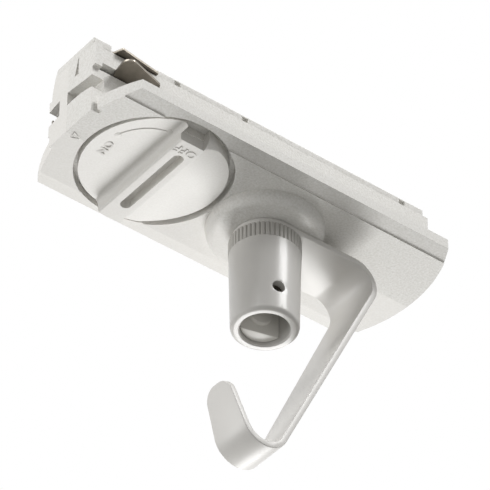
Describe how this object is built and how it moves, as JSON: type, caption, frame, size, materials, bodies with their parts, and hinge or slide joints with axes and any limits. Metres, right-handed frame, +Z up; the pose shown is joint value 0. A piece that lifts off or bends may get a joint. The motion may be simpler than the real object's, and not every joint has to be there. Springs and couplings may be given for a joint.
{
  "type": "track light adapter",
  "caption": "Track adapter with a flanged split housing, rotary on-off dial, swinging contacts, cord nozzle and a bent strap hook.",
  "frame": {"origin": "centre of the flange's seat plane, under the middle of the insert", "axes": "+Z up into the track, +X along the insert toward the end over which the hook's arm reaches, -Y the side of the live and neutral blades"},
  "size_m": [0.0895, 0.036, 0.0814],
  "materials": {
    "housing_plastic": "white moulded plastic with a fine grain",
    "dial_plastic": "white moulded plastic, smooth matte",
    "carrier_plastic": "natural insulating plastic",
    "clamp_plastic": "white plastic, smooth",
    "nozzle_paint": "satin white paint",
    "ring_paint": "satin white paint",
    "hook_paint": "satin white paint",
    "nickel": "nickel plate on brass sheet",
    "brass": "plain brass",
    "steel": "zinc plated steel",
    "spring_steel": "spring steel strip",
    "dark_steel": "blackened steel"
  },
  "bodies": {
    "housing": {"near_half_shell": "housing_plastic", "far_half_shell": "housing_plastic", "top_lid": "housing_plastic", "detent_spring": "spring_steel", "live_strip": "brass", "neutral_strip": "brass", "live_terminal": "brass", "neutral_terminal": "brass", "live_terminal_screw": "steel", "neutral_terminal_screw": "steel", "terminal_base": "carrier_plastic", "earth_contact": "nickel", "earth_terminal": "brass", "earth_terminal_screw": "steel", "threaded_stem": "steel", "stem_washer": "spring_steel", "stem_nut": "steel", "housing_screws": "steel", "nozzle": "nozzle_paint", "cord_clamp": "clamp_plastic"},
    "dial": {"dial": "dial_plastic", "dial_clip": "spring_steel"},
    "contacts": {"contact_carrier": "carrier_plastic", "neutral_contact": "nickel", "live_contact": "nickel", "contact_spacer": "carrier_plastic"},
    "hook": {"hook": "hook_paint"},
    "lock_ring": {"knurled_ring": "ring_paint"},
    "grub": {"grub_screw": "dark_steel"}
  },
  "joints": [
    {"name": "dial_turn", "type": "hinge", "parent": "housing", "child": "dial", "pos_m": [-0.0235, 0, 0], "axis": [0, 0, 1], "range_deg": [-90, 0]},
    {"name": "contact_swing", "type": "hinge", "parent": "housing", "child": "contacts", "pos_m": [-0.012, 0.0016, 0.01], "axis": [0, 0, 1], "range_deg": [-12.5, 0]},
    {"name": "hook_turn", "type": "hinge", "parent": "housing", "child": "hook", "pos_m": [0.0053, 0, -0.0069], "axis": [0, 0, 1], "continuous": true},
    {"name": "ring_turn", "type": "hinge", "parent": "housing", "child": "lock_ring", "pos_m": [0.0053, 0, -0.0095], "axis": [0, 0, 1], "continuous": true},
    {"name": "clamp_screw_travel", "type": "slide", "parent": "housing", "child": "grub", "axis": [0.2588, 0.9659, 0], "range_m": [-0.0006, 0.0012]}
  ],
  "couplings": [
    {"joint": "contact_swing", "follows": "dial_turn", "ratio": 0.13889}
  ]
}
